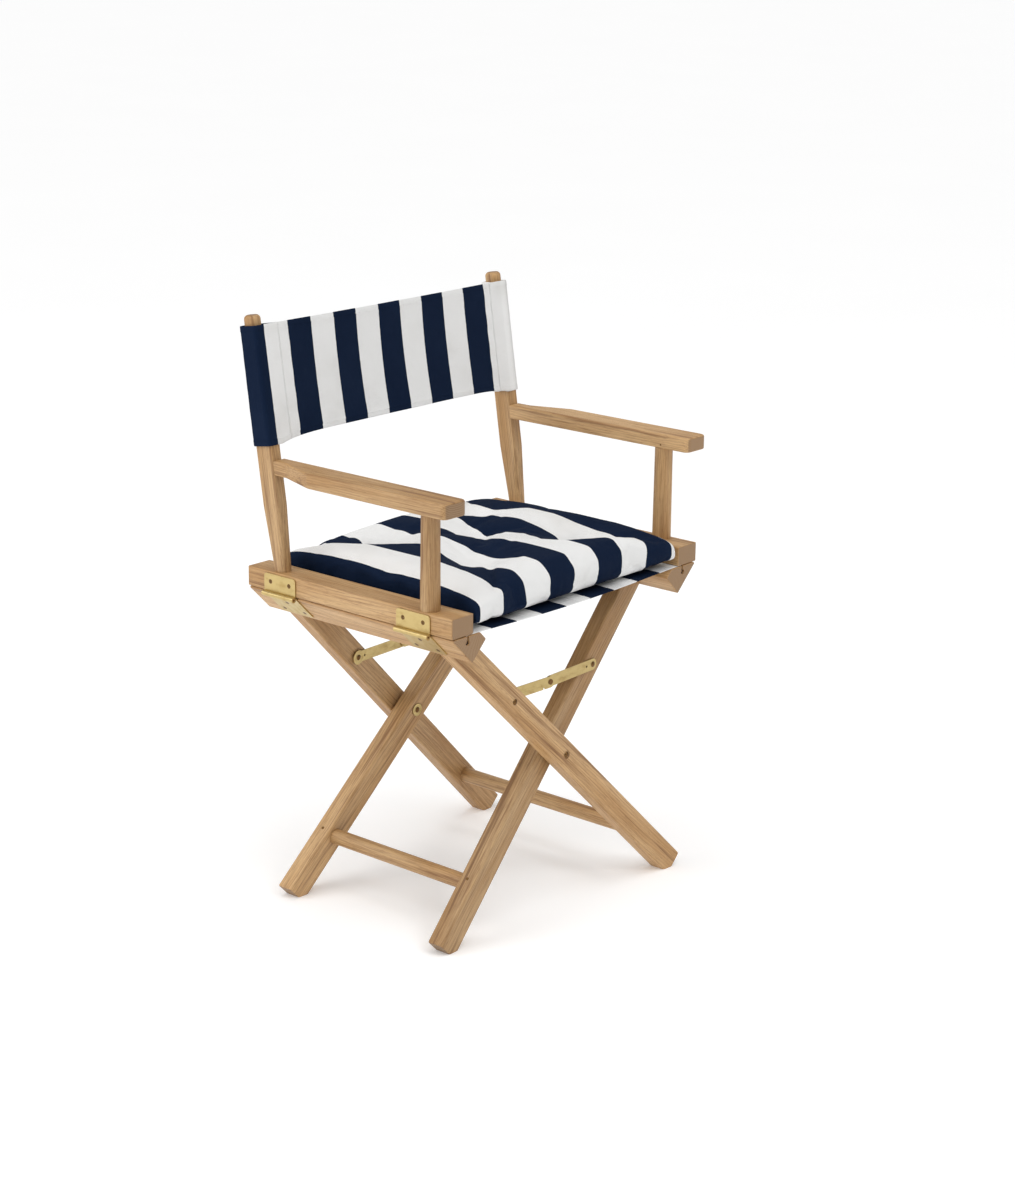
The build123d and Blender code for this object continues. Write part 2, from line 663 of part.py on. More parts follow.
os.makedirs("parts", exist_ok=True)
for node, shape in chair().items():
    export_step(Pos(0, FRAME_SHIFT, 0) * shape, f"parts/{node}.step")
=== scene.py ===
"""Looks of the folding director's chair: oiled wood, brass, woven canvas and a tufted cushion.

Metres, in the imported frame: the sitter faces -Y, +X is the sitter's left and +Z is up.
"""
import json
from math import cos, pi, radians, sin

import bpy
import numpy as np
from mathutils import Matrix, Vector


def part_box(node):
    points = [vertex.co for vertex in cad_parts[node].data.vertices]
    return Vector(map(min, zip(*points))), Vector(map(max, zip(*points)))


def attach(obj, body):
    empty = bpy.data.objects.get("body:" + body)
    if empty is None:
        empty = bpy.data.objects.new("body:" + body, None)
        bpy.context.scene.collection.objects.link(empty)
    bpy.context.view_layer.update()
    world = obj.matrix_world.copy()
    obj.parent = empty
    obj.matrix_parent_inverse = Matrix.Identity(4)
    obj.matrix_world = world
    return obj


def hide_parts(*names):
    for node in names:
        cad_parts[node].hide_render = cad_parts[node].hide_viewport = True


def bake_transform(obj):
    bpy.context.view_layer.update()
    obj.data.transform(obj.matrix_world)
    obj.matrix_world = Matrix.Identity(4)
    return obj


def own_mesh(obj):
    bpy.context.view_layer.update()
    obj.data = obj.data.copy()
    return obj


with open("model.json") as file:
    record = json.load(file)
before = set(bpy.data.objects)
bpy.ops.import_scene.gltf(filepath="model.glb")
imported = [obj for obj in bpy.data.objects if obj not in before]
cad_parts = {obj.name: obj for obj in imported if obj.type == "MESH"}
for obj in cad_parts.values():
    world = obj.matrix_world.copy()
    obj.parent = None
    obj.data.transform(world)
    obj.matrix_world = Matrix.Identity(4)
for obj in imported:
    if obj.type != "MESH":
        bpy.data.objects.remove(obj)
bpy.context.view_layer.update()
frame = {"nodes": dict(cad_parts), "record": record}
nodes = frame["nodes"]

MM = 0.001
RIGHT, LEFT = -1, 1
SIDE_NAMES = {RIGHT: "right", LEFT: "left"}


# ---------------------------------------------------------------- shader building
def linear(red, green, blue):
    """Linear colour of an sRGB colour given in 0 to 255."""
    share = np.array([red, green, blue]) / 255
    curve = np.where(share <= 0.04045, share / 12.92, ((share + 0.055) / 1.055) ** 2.4)
    return (*(float(c) for c in curve), 1.0)


class Shader:
    """A material being built: each call adds a node and returns the socket that matters."""

    def __init__(self, name):
        self.material = bpy.data.materials.new(name)
        self.material.use_nodes = True
        self.tree = self.material.node_tree
        self.tree.nodes.clear()
        self.surface = self.tree.nodes.new("ShaderNodeBsdfPrincipled")
        output = self.tree.nodes.new("ShaderNodeOutputMaterial")
        self.tree.links.new(self.surface.outputs[0], output.inputs[0])

    def connect(self, node, inputs):
        for key, value in inputs.items():
            if isinstance(value, bpy.types.NodeSocket):
                self.tree.links.new(value, node.inputs[key])
            else:
                node.inputs[key].default_value = value

    def add(self, kind, inputs=None, **settings):
        node = self.tree.nodes.new(kind)
        for name, value in settings.items():
            setattr(node, name, value)
        self.connect(node, inputs or {})
        return node

    def finish(self, **inputs):
        """Set the surface's inputs; underscores stand for the spaces in their names."""
        self.connect(self.surface, {k.replace("_", " "): v for k, v in inputs.items()})
        return self.material

    def math(self, operation, *values):
        inputs = dict(enumerate(values))
        return self.add("ShaderNodeMath", inputs, operation=operation).outputs[0]

    def dot(self, vector, axis):
        inputs = {0: vector, 1: axis}
        return self.add("ShaderNodeVectorMath", inputs, operation="DOT_PRODUCT").outputs["Value"]

    def scaled(self, vector, factors):
        inputs = {0: vector, 1: factors}
        return self.add("ShaderNodeVectorMath", inputs, operation="MULTIPLY").outputs[0]

    def noise(self, vector, detail=2.0, roughness=0.5, scale=1.0):
        inputs = {"Vector": vector, "Scale": scale, "Detail": detail, "Roughness": roughness}
        return self.add("ShaderNodeTexNoise", inputs).outputs[0]

    def ramp(self, value, low, high, to_low=0.0, to_high=1.0):
        """Smooth step of a value between two limits."""
        inputs = {0: value, 1: low, 2: high, 3: to_low, 4: to_high}
        node = self.add("ShaderNodeMapRange", inputs, interpolation_type="SMOOTHSTEP")
        return node.outputs[0]

    def mix(self, factor, first, second, blend="MIX"):
        node = self.add("ShaderNodeMix", data_type="RGBA", blend_type=blend)
        self.connect(node, {0: factor, 6: first, 7: second})
        return node.outputs[2]

    def bump(self, height, distance, strength=1.0):
        inputs = {"Height": height, "Distance": distance, "Strength": strength}
        return self.add("ShaderNodeBump", inputs).outputs[0]

    def edge_wear_and_shade(self, radius, low, high):
        """Mask of the convex edges, where the rounded normal leaves the face's own."""
        rounded = self.add("ShaderNodeBevel", {"Radius": radius}, samples=4).outputs[0]
        flat = self.add("ShaderNodeNewGeometry").outputs["Normal"]
        return self.ramp(self.dot(rounded, flat), high, low)


# ---------------------------------------------------------------- materials
WOOD_PALE = linear(205, 168, 120)
WOOD_TAN = linear(182, 139, 86)
WOOD_BROWN = linear(116, 74, 36)
WOOD_END = linear(152, 122, 88)
BRASS_PALE = (0.54, 0.41, 0.18, 1)
BRASS_TARNISH = (0.38, 0.24, 0.08, 1)
BRASS_AGED = (0.17, 0.09, 0.035, 1)
BRASS_BRIGHT = (0.80, 0.64, 0.33, 1)
NAVY = linear(13, 28, 52)
NAVY_WORN = linear(26, 41, 66)
OFF_WHITE = linear(240, 240, 239)
# painted shade: the warm grey of the white stripes where they lie in shade, laid on them in patches
OFF_WHITE_SHADED = linear(218, 217, 213)
RING_WIDTH = 3.0 * MM
STRIPE_WANDER = 0.9 * MM  # how far the stripes' edges stray in all

# brightness of the boards that look lighter or darker in the photo than the rest: partly their own
# colour, partly painted light and shade
BOARD_TONE_AND_SHADE = {
    "outer_front_leg": 1.02,
    "inner_front_leg": 0.80,
    "inner_rear_leg": 1.05,
    "right_front_post": 0.82,
    "right_armrest": 0.88,
    "right_rear_post": 0.90,
    "left_armrest": 1.05,
}


def long_axes(piece):
    """Middle of a piece and its axes, the longest first."""
    points = np.array([v.co for v in piece.data.vertices])
    middle = (points.max(0) + points.min(0)) / 2
    return middle, np.linalg.svd(points - points.mean(0), full_matrices=False)[2]


def grain_coordinates(shader, piece, offset=0.0):
    """Vector socket with x along the piece, from its own rest position."""
    middle, axes = long_axes(piece)
    rest = shader.add("ShaderNodeTexCoord").outputs["Object"]
    inputs = {0: rest, 1: [float(m) for m in middle]}
    local = shader.add("ShaderNodeVectorMath", inputs, operation="SUBTRACT").outputs[0]
    parts = [shader.dot(local, [float(a) for a in axis]) for axis in axes]
    along = shader.math("ADD", parts[0], offset)
    combined = {0: along, 1: parts[1], 2: parts[2]}
    return shader.add("ShaderNodeCombineXYZ", combined).outputs[0], parts, axes


def wood(piece, seed):
    """Teak with growth rings about an off-board pith, streaks, pores, end grain and edges darkened
    as painted shade.
    """
    random = np.random.default_rng(seed)
    shader = Shader(f"wood_{piece.name}")
    offset = float(random.uniform(1, 40))
    grain, parts, axes = grain_coordinates(shader, piece, offset)

    turn = random.uniform(0, 2 * pi)
    pith = random.uniform(0.03, 0.08)
    warp = shader.noise(shader.scaled(grain, (3.0, 14.0, 14.0)), detail=2)
    aside = shader.math("ADD", parts[1], float(pith * cos(turn)))
    below = shader.math("ADD", parts[2], float(pith * sin(turn)))
    squares = shader.math("ADD", shader.math("POWER", aside, 2.0), shader.math("POWER", below, 2.0))
    radius = shader.math("ADD", shader.math("SQRT", squares), shader.math("MULTIPLY", warp, 0.022))
    ring = shader.math("FRACT", shader.math("MULTIPLY", radius, 1 / RING_WIDTH))
    late_wood = shader.math(
        "MULTIPLY", shader.ramp(ring, 0.35, 0.86), shader.ramp(ring, 1.0, 0.9)
    )

    broad = shader.noise(shader.scaled(grain, (4.0, 34.0, 34.0)), detail=3)
    fibre = shader.noise(shader.scaled(grain, (16.0, 620.0, 620.0)), detail=4, roughness=0.65)
    streak = shader.noise(shader.scaled(grain, (3.5, 110.0, 110.0)), detail=3, roughness=0.6)
    pores = shader.noise(shader.scaled(grain, (70.0, 1500.0, 1500.0)), detail=1)
    pore_mask = shader.ramp(pores, 0.60, 0.70)

    color = shader.mix(shader.ramp(broad, 0.3, 0.7), WOOD_PALE, WOOD_TAN)
    color = shader.mix(shader.math("MULTIPLY", late_wood, 0.22), color, WOOD_BROWN)
    color = shader.mix(shader.ramp(streak, 0.54, 0.70, 0.0, 0.70), color, WOOD_BROWN)
    color = shader.mix(shader.ramp(fibre, 0.44, 0.70, 0.0, 0.50), color, WOOD_BROWN)
    color = shader.mix(shader.math("MULTIPLY", pore_mask, 0.4), color, WOOD_BROWN)

    facing = shader.add("ShaderNodeTexCoord").outputs["Normal"]
    end_on = shader.math("ABSOLUTE", shader.dot(facing, [float(a) for a in axes[0]]))
    end_grain = shader.ramp(end_on, 0.72, 0.92)
    end_color = shader.mix(shader.math("MULTIPLY", late_wood, 0.5), WOOD_END, WOOD_BROWN)
    color = shader.mix(end_grain, color, end_color)
    # painted shade: the rounded edges darkened towards brown, for the shading along them
    edges = shader.edge_wear_and_shade(2.0 * MM, 0.90, 0.995)
    color = shader.mix(shader.math("MULTIPLY", edges, 0.30), color, WOOD_BROWN)
    # each board's own colour varies at random; the listed boards also carry painted light and shade
    tone_and_shade = BOARD_TONE_AND_SHADE.get(piece.name, float(random.uniform(0.93, 1.05)))
    color = shader.mix(1.0, color, (tone_and_shade, tone_and_shade, tone_and_shade, 1), blend="MULTIPLY")

    relief = shader.math("SUBTRACT", shader.math("MULTIPLY", fibre, 0.5), pore_mask)
    relief = shader.math("SUBTRACT", relief, shader.math("MULTIPLY", late_wood, 0.25))
    roughness = shader.ramp(fibre, 0.3, 0.7, 0.42, 0.6)
    return shader.finish(
        Base_Color=color,
        Roughness=roughness,
        Specular_IOR_Level=0.5,
        Normal=shader.bump(relief, 0.12 * MM, 0.7),
    )


def brass(piece, seed, aged=False):
    """Pressed brass, drawn along its length and bright on its edges; fixings have gone brown."""
    random = np.random.default_rng(seed)
    shader = Shader(f"brass_{piece.name}")
    grain, _, _ = grain_coordinates(shader, piece, float(random.uniform(1, 40)))
    drawn = shader.noise(shader.scaled(grain, (60.0, 2400.0, 2400.0)), detail=3)
    cloud = shader.noise(shader.scaled(grain, (60.0, 110.0, 110.0)), detail=4, roughness=0.6)
    spots = shader.noise(shader.scaled(grain, (900.0, 900.0, 900.0)), detail=2)
    tarnish = shader.math(
        "ADD", shader.ramp(cloud, 0.48, 0.78, 0.0, 0.45), shader.ramp(spots, 0.66, 0.8, 0.0, 0.15)
    )
    edges = shader.edge_wear_and_shade(0.6 * MM, 0.90, 0.995)
    pale, dull = (BRASS_AGED, BRASS_AGED) if aged else (BRASS_PALE, BRASS_TARNISH)
    color = shader.mix(tarnish, pale, dull)
    color = shader.mix(shader.math("MULTIPLY", edges, 0.25), color, BRASS_BRIGHT)
    rough = shader.ramp(cloud, 0.3, 0.75, 0.32, 0.5)
    return shader.finish(
        Base_Color=color,
        Metallic=1.0,
        Roughness=rough,
        Normal=shader.bump(drawn, 0.02 * MM, 0.6),
    )


def canvas(name, first_navy, pitch, thread=0.85 * MM):
    """Plain-woven cotton, striped along the cloth's u in metres, navy first."""
    shader = Shader(name)
    flat = shader.add("ShaderNodeUVMap", uv_map="cloth").outputs[0]
    split = shader.add("ShaderNodeSeparateXYZ", {0: flat})
    across, along = split.outputs[0], split.outputs[1]
    wander = shader.noise(shader.scaled(flat, (260.0, 260.0, 0.0)), detail=2)
    edge = shader.math("ADD", across, shader.math("MULTIPLY", wander, STRIPE_WANDER))
    stripe = shader.math("ADD", edge, -first_navy - STRIPE_WANDER / 2)
    stripe = shader.math("FRACT", shader.math("MULTIPLY", stripe, 0.5 / pitch))
    is_white = shader.math("GREATER_THAN", stripe, 0.5)

    warp = shader.math("SINE", shader.math("MULTIPLY", across, pi / thread))
    weft = shader.math("SINE", shader.math("MULTIPLY", along, pi / thread))
    crossing = shader.math("MULTIPLY", warp, weft)
    over = shader.math("SQRT", shader.math("ABSOLUTE", crossing))
    slub = shader.noise(shader.scaled(flat, (60.0, 1100.0, 0.0)), detail=2)
    slub_up = shader.noise(shader.scaled(flat, (1100.0, 60.0, 0.0)), detail=2)
    # random patches: real wear on the navy stripes, painted shade on the white ones
    soil_and_shade = shader.noise(shader.scaled(flat, (9.0, 9.0, 0.0)), detail=4, roughness=0.6)

    navy = shader.mix(shader.ramp(soil_and_shade, 0.4, 0.75, 0.0, 0.35), NAVY, NAVY_WORN)
    navy = shader.mix(shader.ramp(slub_up, 0.5, 0.8, 0.0, 0.5), navy, NAVY_WORN)
    # Painted shade: the white is greyed in random patches and along the slubs.
    white = shader.mix(shader.ramp(soil_and_shade, 0.45, 0.8, 0.0, 0.5), OFF_WHITE, OFF_WHITE_SHADED)
    white = shader.mix(shader.ramp(slub, 0.55, 0.8, 0.0, 0.4), white, OFF_WHITE_SHADED)
    color = shader.mix(is_white, navy, white)
    # painted shade: the weave darkened between the threads
    weave_gap_shade = shader.ramp(over, 0.05, 0.6, 0.72, 1.0)
    color = shader.mix(1.0, color, weave_gap_shade, blend="MULTIPLY")

    height = shader.math("ADD", over, shader.math("MULTIPLY", slub, 0.8))
    height = shader.math("ADD", height, shader.math("MULTIPLY", slub_up, 0.8))
    return shader.finish(
        Base_Color=color,
        Roughness=0.86,
        Specular_IOR_Level=0.08,
        Normal=shader.bump(height, 0.22 * MM, 0.8),
    )


# ---------------------------------------------------------------- mesh building
def mesh_object(name, points, faces, material, flat=None, smooth=True):
    """Object from points and faces, with each point's place in the cloth's cut as a UV map."""
    mesh = bpy.data.meshes.new(name)
    mesh.from_pydata([tuple(p) for p in points], [], [tuple(f) for f in faces])
    if flat is not None:
        layer = mesh.uv_layers.new(name="cloth")
        corners = np.zeros(len(mesh.loops), np.int32)
        mesh.loops.foreach_get("vertex_index", corners)
        layer.data.foreach_set("uv", np.asarray(flat, np.float32)[corners].ravel())
    mesh.polygons.foreach_set("use_smooth", [smooth] * len(mesh.polygons))
    mesh.materials.append(material)
    mesh.update()
    piece = bpy.data.objects.new(name, mesh)
    bpy.context.scene.collection.objects.link(piece)
    return piece


def grid_faces(index):
    """Quads of a grid of point numbers."""
    corners = (index[:-1, :-1], index[1:, :-1], index[1:, 1:], index[:-1, 1:])
    return np.stack([c.ravel() for c in corners], axis=1)


def grid_normals(middle):
    """Unit normals of a grid of points."""
    down = np.gradient(middle, axis=0)
    across = np.gradient(middle, axis=1)
    normal = np.cross(down, across)
    return normal / np.linalg.norm(normal, axis=2, keepdims=True)


def cloth_sheet(name, middle, thickness, flat, material):
    """Closed sheet: a grid of points thickened both ways, its rim rounded by the thin last rows."""
    half = grid_normals(middle) * thickness[..., None] / 2
    points = np.concatenate([(middle + half).reshape(-1, 3), (middle - half).reshape(-1, 3)])
    rows, columns = middle.shape[:2]
    count = rows * columns
    index = np.arange(count).reshape(rows, columns)
    top = grid_faces(index)
    rim = np.concatenate(
        [index[0, :-1], index[:-1, -1], index[-1, :0:-1], index[:0:-1, 0]]
    )
    after = np.roll(rim, -1)
    sides = np.stack([rim, after, after + count, rim + count], axis=1)
    faces = np.concatenate([top, top[:, ::-1] + count, sides])
    return mesh_object(name, points, faces, material, np.tile(flat.reshape(-1, 2), (2, 1)))


def resample(points, count):
    """The same line with evenly spaced points, and each one's distance along it."""
    steps = np.linalg.norm(np.diff(points, axis=0), axis=1)
    run = np.concatenate([[0], np.cumsum(steps)])
    even = np.linspace(0, run[-1], count)
    return np.stack([np.interp(even, run, column) for column in points.T], axis=1), even


def arc(centre, radius, start, end, count=8):
    """Points on an arc, angles in degrees."""
    angles = np.radians(np.linspace(start, end, count))
    return np.stack([centre[0] + radius * np.cos(angles), centre[1] + radius * np.sin(angles)], 1)


STITCH_PITCH = 3.6 * MM
STITCH_LENGTH = 2.5 * MM
STITCH_RADIUS = 0.38 * MM
STITCH_SIDES = 6
STITCH_LIFT = 0.1 * MM  # above the cloth's face


def stitches(name, lines, material):
    """Rows of stitches in the stripes' own colours. Lines are (points, normals, cut places)."""
    ring = np.array([(cos(a), sin(a)) for a in np.arange(STITCH_SIDES) * 2 * pi / STITCH_SIDES])
    profile = ((-0.5, 0.35), (-0.3, 0.9), (0.3, 0.9), (0.5, 0.35))
    top = STITCH_SIDES * (len(profile) - 1)
    points, faces, flat = [], [], []
    for path, normals, cut in lines:
        run = np.concatenate([[0], np.cumsum(np.linalg.norm(np.diff(path, axis=0), axis=1))])
        for at in np.arange(STITCH_PITCH, run[-1] - STITCH_PITCH / 2, STITCH_PITCH):
            place = [np.array([np.interp(at + d, run, c) for c in path.T]) for d in (-MM, 0, MM)]
            up = np.array([np.interp(at, run, c) for c in normals.T])
            along = place[2] - place[0]
            along /= np.linalg.norm(along)
            side = np.cross(along, up)
            side /= np.linalg.norm(side)
            base = len(points)
            flat += [[np.interp(at, run, c) for c in cut.T]] * (len(profile) * STITCH_SIDES)
            for share, width in profile:
                middle = place[1] + along * share * STITCH_LENGTH
                for c, s in ring * STITCH_RADIUS * width:
                    points.append(middle + side * c + up * (s + STITCH_LIFT))
            for level in range(len(profile) - 1):
                low = base + level * STITCH_SIDES
                for k in range(STITCH_SIDES):
                    a, b = low + k, low + (k + 1) % STITCH_SIDES
                    faces.append((a, b, b + STITCH_SIDES, a + STITCH_SIDES))
            faces.append(tuple(base + k for k in reversed(range(STITCH_SIDES))))
            faces.append(tuple(base + top + k for k in range(STITCH_SIDES)))
    return mesh_object(name, points, faces, material, flat)


def edge_stations(length, hem, step):
    """Stations across a hemmed cloth: close together in the hems, even between them."""
    near = np.array([0, 0.5, 1.2, 2.5, 4.5]) * MM
    seam = hem + np.array([-1.2, -0.4, 0.5, 1.6]) * MM
    start = np.concatenate([near, seam])
    inner = np.linspace(start[-1], length - start[-1], max(int(length / step), 3))[1:-1]
    return np.concatenate([start, inner, length - start[::-1]])


def hem_rows(stations, length, hem):
    """Numbers of the two rows where the hems are sewn."""
    return np.argmin(abs(stations - hem)), np.argmin(abs(stations - length + hem))


def hem_thickness(stations, length, hem, cloth, folded):
    """Cloth thickness at each station: doubled in the hems, thin at the very edge."""
    depth = np.minimum(stations, length - stations)
    profile = [(0, 0.45 * folded), (0.5 * MM, 0.9 * folded), (1.2 * MM, folded)]
    profile += [(hem - 1.2 * MM, folded), (hem - 0.4 * MM, 0.82 * folded)]
    profile += [(hem + 0.5 * MM, folded * 0.8), (hem + 1.6 * MM, cloth)]
    places, sizes = zip(*profile)
    return np.interp(depth, places, sizes)


# ---------------------------------------------------------------- backrest canvas
LEAN = radians(8.9)
SLEEVE_HALF_DEPTH = 17.55 * MM
POST_X = 256.0 * MM
TIP_X = 226.0 * MM  # where a sleeve comes round from behind and is sewn to the panel
SLEEVE_HALF_X = 12.6 * MM
SLEEVE_DEPTH = 17.2 * MM  # from the post's middle to the cloth, before and behind
BACK_STRIPE = 46.45 * MM
BACK_FIRST_NAVY = -299.0 * MM
BACK_CLOTH = 1.0 * MM
BACK_HEM = 8.0 * MM
BACK_HEM_CLOTH = 1.8 * MM
PANEL_COLUMNS = 121
LOWER_EDGE_RISE = 8.0 * MM
PANEL_HOLLOW = 4.0 * MM
SLEEVE_CORNER = 5.5 * MM
TAPER_FROM = 43.0 * MM  # up the canvas, where the post begins to taper behind
TAPER_LENGTH = 135.0 * MM
TAPER_DEPTH = 1.5 * MM
FLAP_OUT = 2.5 * MM  # the flap that comes back from the post to the panel's seam
FLAP_LAP = 7.0 * MM
FLAP_BEHIND = 1.6 * MM
CUT_LIMITS = {RIGHT: 295.0 * MM, LEFT: 250.0 * MM}  # so that each sleeve shows one stripe
CUT_CREEP = 0.02

canvas_low, canvas_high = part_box("backrest_canvas")
lean_up = np.array([0, sin(LEAN), cos(LEAN)])
lean_front = np.array([0, -cos(LEAN), sin(LEAN)])
back_foot = np.array(
    [
        0,
        canvas_low.y + SLEEVE_HALF_DEPTH * cos(LEAN),
        canvas_low.z + SLEEVE_HALF_DEPTH * sin(LEAN),
    ]
)
back_top = np.array(
    [
        0,
        canvas_high.y - SLEEVE_HALF_DEPTH * cos(LEAN),
        canvas_high.z - SLEEVE_HALF_DEPTH * sin(LEAN),
    ]
)
back_height = float(np.linalg.norm(back_top - back_foot))


def back_place(x, up, front):
    """Points of the back from their place across, up the posts and towards the sitter."""
    x, up, front = np.broadcast_arrays(x, up, front)
    across = x[..., None] * np.array([1.0, 0, 0])
    return back_foot + across + up[..., None] * lean_up + front[..., None] * lean_front


def lower_edge_rise(x, up):
    """How far the tight cloth draws up between the posts, most at its lower edge."""
    share = np.clip(np.abs(x) / (POST_X - SLEEVE_HALF_X), 0, 1)
    return LOWER_EDGE_RISE * (1 - share**8) * (1 - up / back_height) ** 1.5


def back_panel(material):
    """Panel between the sleeves: hemmed, pulled tight and hollowed a little by use."""
    stations = edge_stations(back_height, BACK_HEM, 7 * MM)
    xs = np.linspace(-TIP_X, TIP_X, PANEL_COLUMNS)
    x, up = np.meshgrid(xs, stations)
    share = x / TIP_X
    height = up / back_height
    free = 1 - share**2
    sag = 1.0 * MM * free * height - lower_edge_rise(x, up)
    bowl = free * np.sin(pi * np.clip(height, 0.05, 0.95)) ** 0.7
    hollow = SLEEVE_DEPTH - PANEL_HOLLOW * bowl
    pull = 0.5 * MM * np.sin(9 * pi * height + 2 * share) * np.abs(share) ** 4
    ripple = 0.5 * MM * np.sin(x / 0.019 + 3 * height) * free
    middle = back_place(x, up - sag, hollow + pull + ripple)
    thick = hem_thickness(stations, back_height, BACK_HEM, BACK_CLOTH, BACK_HEM_CLOTH)
    in_hem = np.minimum(up, back_height - up) < BACK_HEM
    flat = np.stack([x + 0.9 * MM * in_hem, up], axis=2)
    thickness = np.tile(thick[:, None], (1, PANEL_COLUMNS))
    piece = cloth_sheet("back_panel", middle, thickness, flat, material)

    lines = []
    normals = grid_normals(middle)
    for row in hem_rows(stations, back_height, BACK_HEM):
        for face in (-1, 1):
            out = normals[row] * face
            lines.append((middle[row] + out * thick[row] / 2, out, flat[row]))
    return piece, stitches("back_panel_stitching", lines, material)


def sleeve_section(side, up):
    """Section of a sleeve: from the panel round the post and back to it, as (x, front) points."""
    taper = np.clip((up - TAPER_FROM) / TAPER_LENGTH, 0.0, 1.0)
    half_x, depth, back = SLEEVE_HALF_X, SLEEVE_DEPTH, SLEEVE_DEPTH - TAPER_DEPTH * taper
    corner = SLEEVE_CORNER
    tip = TIP_X - POST_X
    flap = [
        (-half_x - FLAP_OUT, 0.0),
        (tip + FLAP_LAP, depth - 2 * FLAP_BEHIND),
        (tip, depth - FLAP_BEHIND),
    ]
    line = [
        [(tip, depth), (-half_x, depth)],
        arc((half_x - corner, depth - corner), corner, 90, 0),
        arc((half_x - corner, corner - back), corner, 0, -90),
        arc((corner - half_x, corner - back), corner, -90, -150),
        flap,
    ]
    section, run = resample(np.concatenate(line), 84)
    section[:, 0] = side * (POST_X + section[:, 0])
    return section, run


def sleeve(side, material):
    """Pocket of the canvas round one rear post, hemmed at its ends."""
    stations = edge_stations(back_height, BACK_HEM, 9 * MM)
    sections = [sleeve_section(side, up) for up in stations]
    x = np.stack([s[0][:, 0] for s in sections])
    front = np.stack([s[0][:, 1] for s in sections])
    run = np.stack([s[1] for s in sections])
    up = np.tile(stations[:, None], (1, x.shape[1]))
    wave = 0.35 * MM * np.sin(up / (11 * MM)) * np.sin(pi * run / run.max())
    middle = back_place(x + side * np.abs(wave), up + lower_edge_rise(x, up), front)
    thick = hem_thickness(stations, back_height, BACK_HEM, BACK_CLOTH, BACK_HEM_CLOTH)
    thick = np.tile(thick[:, None], (1, x.shape[1]))
    cut = np.minimum(TIP_X + run, CUT_LIMITS[side] + CUT_CREEP * run)
    flat = np.stack([side * cut, up], axis=2)
    name = f"{SIDE_NAMES[side]}_back_sleeve"
    piece = cloth_sheet(name, middle, thick, flat, material)

    normals = grid_normals(middle)
    outward = np.sign((normals[..., 0] * side).mean()) or 1.0
    lines = []
    seam = x.shape[1] - 4
    out = normals[2:-2, seam] * outward
    lines.append((middle[2:-2, seam] + out * thick[2:-2, seam, None] / 2, out, flat[2:-2, seam]))
    for row in hem_rows(stations, back_height, BACK_HEM):
        out = normals[row] * outward
        lines.append((middle[row] + out * thick[row, :, None] / 2, out, flat[row]))
    return piece, stitches(f"{name}_stitching", lines, material)


# ---------------------------------------------------------------- seat sling
SLING_CLOTH = 0.8 * MM
SLING_HEM_CLOTH = 1.3 * MM
SLING_HEM = 12.0 * MM
SLING_SAG = 3.5 * MM
SLING_STRIPE = 53.7 * MM
SLING_FIRST_NAVY = -189.0 * MM
SLOT_IN_FROM_ROD = 0.95 * MM
LOOP_RADIUS = 3.15 * MM
SLOT_LIP = 1.3 * MM
EDGE_DROOP = 1.6 * MM  # of the front and rear edges, dying out inwards over the reach
EDGE_DROOP_REACH = 30.0 * MM
DROOP_HALF_WIDTH = 200.0 * MM  # from the middle of the seat to where the droop ends
SEWN_SHORT_OF_RAIL = 14.0 * MM

sling_low, sling_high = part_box("seat_sling")


def sling_section(side):
    """Half of the sling's section: sagging out to the rail, down the slot and round the rod."""
    rod_low, rod_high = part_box(f"{SIDE_NAMES[side]}_sling_rod")
    rod_x = abs(rod_low.x + rod_high.x) / 2
    rod_z = (rod_low.z + rod_high.z) / 2
    slot_x = rod_x - SLOT_IN_FROM_ROD
    level = sling_high.z - SLING_CLOTH / 2 - 0.1 * MM
    lip = SLOT_LIP
    out = np.linspace(0, 1, 60)
    flat = np.stack([out * (slot_x - lip), level - SLING_SAG * (1 - out**2) ** 1.5], axis=1)
    bend = arc((slot_x - lip, level - lip), lip, 90, 0)[1:]
    loop = arc((rod_x, rod_z), LOOP_RADIUS, 112, -200, 26)
    section, run = resample(np.concatenate([flat, bend, loop]), 110)
    section[:, 0] *= side
    return section, run


def sling_half(side, material):
    """Half of the sling, from the middle of the seat to the rod in its rail."""
    section, run = sling_section(side)
    length = sling_high.y - sling_low.y
    stations = edge_stations(length, SLING_HEM, 12 * MM)
    y = np.tile(sling_low.y + stations[:, None], (1, len(section)))
    give = np.clip(1 - (run / DROOP_HALF_WIDTH) ** 2, 0, 1)
    edge = np.exp(-np.minimum(stations, length - stations) / EDGE_DROOP_REACH)
    droop = -EDGE_DROOP * edge[:, None] * give[None, :]
    middle = np.stack(
        [np.tile(section[:, 0], (len(stations), 1)), y, section[:, 1][None, :] + droop], axis=2
    )
    thick = hem_thickness(stations, length, SLING_HEM, SLING_CLOTH, SLING_HEM_CLOTH)
    flat = np.stack([np.tile(side * run, (len(stations), 1)), y], axis=2)
    name = f"seat_sling_{SIDE_NAMES[side]}_half"
    piece = cloth_sheet(name, middle, np.tile(thick[:, None], (1, len(section))), flat, material)

    shown = run < abs(section[:, 0]).max() - SEWN_SHORT_OF_RAIL
    normals = grid_normals(middle)
    lines = []
    for row in hem_rows(stations, length, SLING_HEM):
        for face in (-1, 1):
            out = (normals[row] * face)[shown]
            lines.append((middle[row][shown] + out * thick[row] / 2, out, flat[row][shown]))
    return piece, stitches(f"{name}_stitching", lines, material)


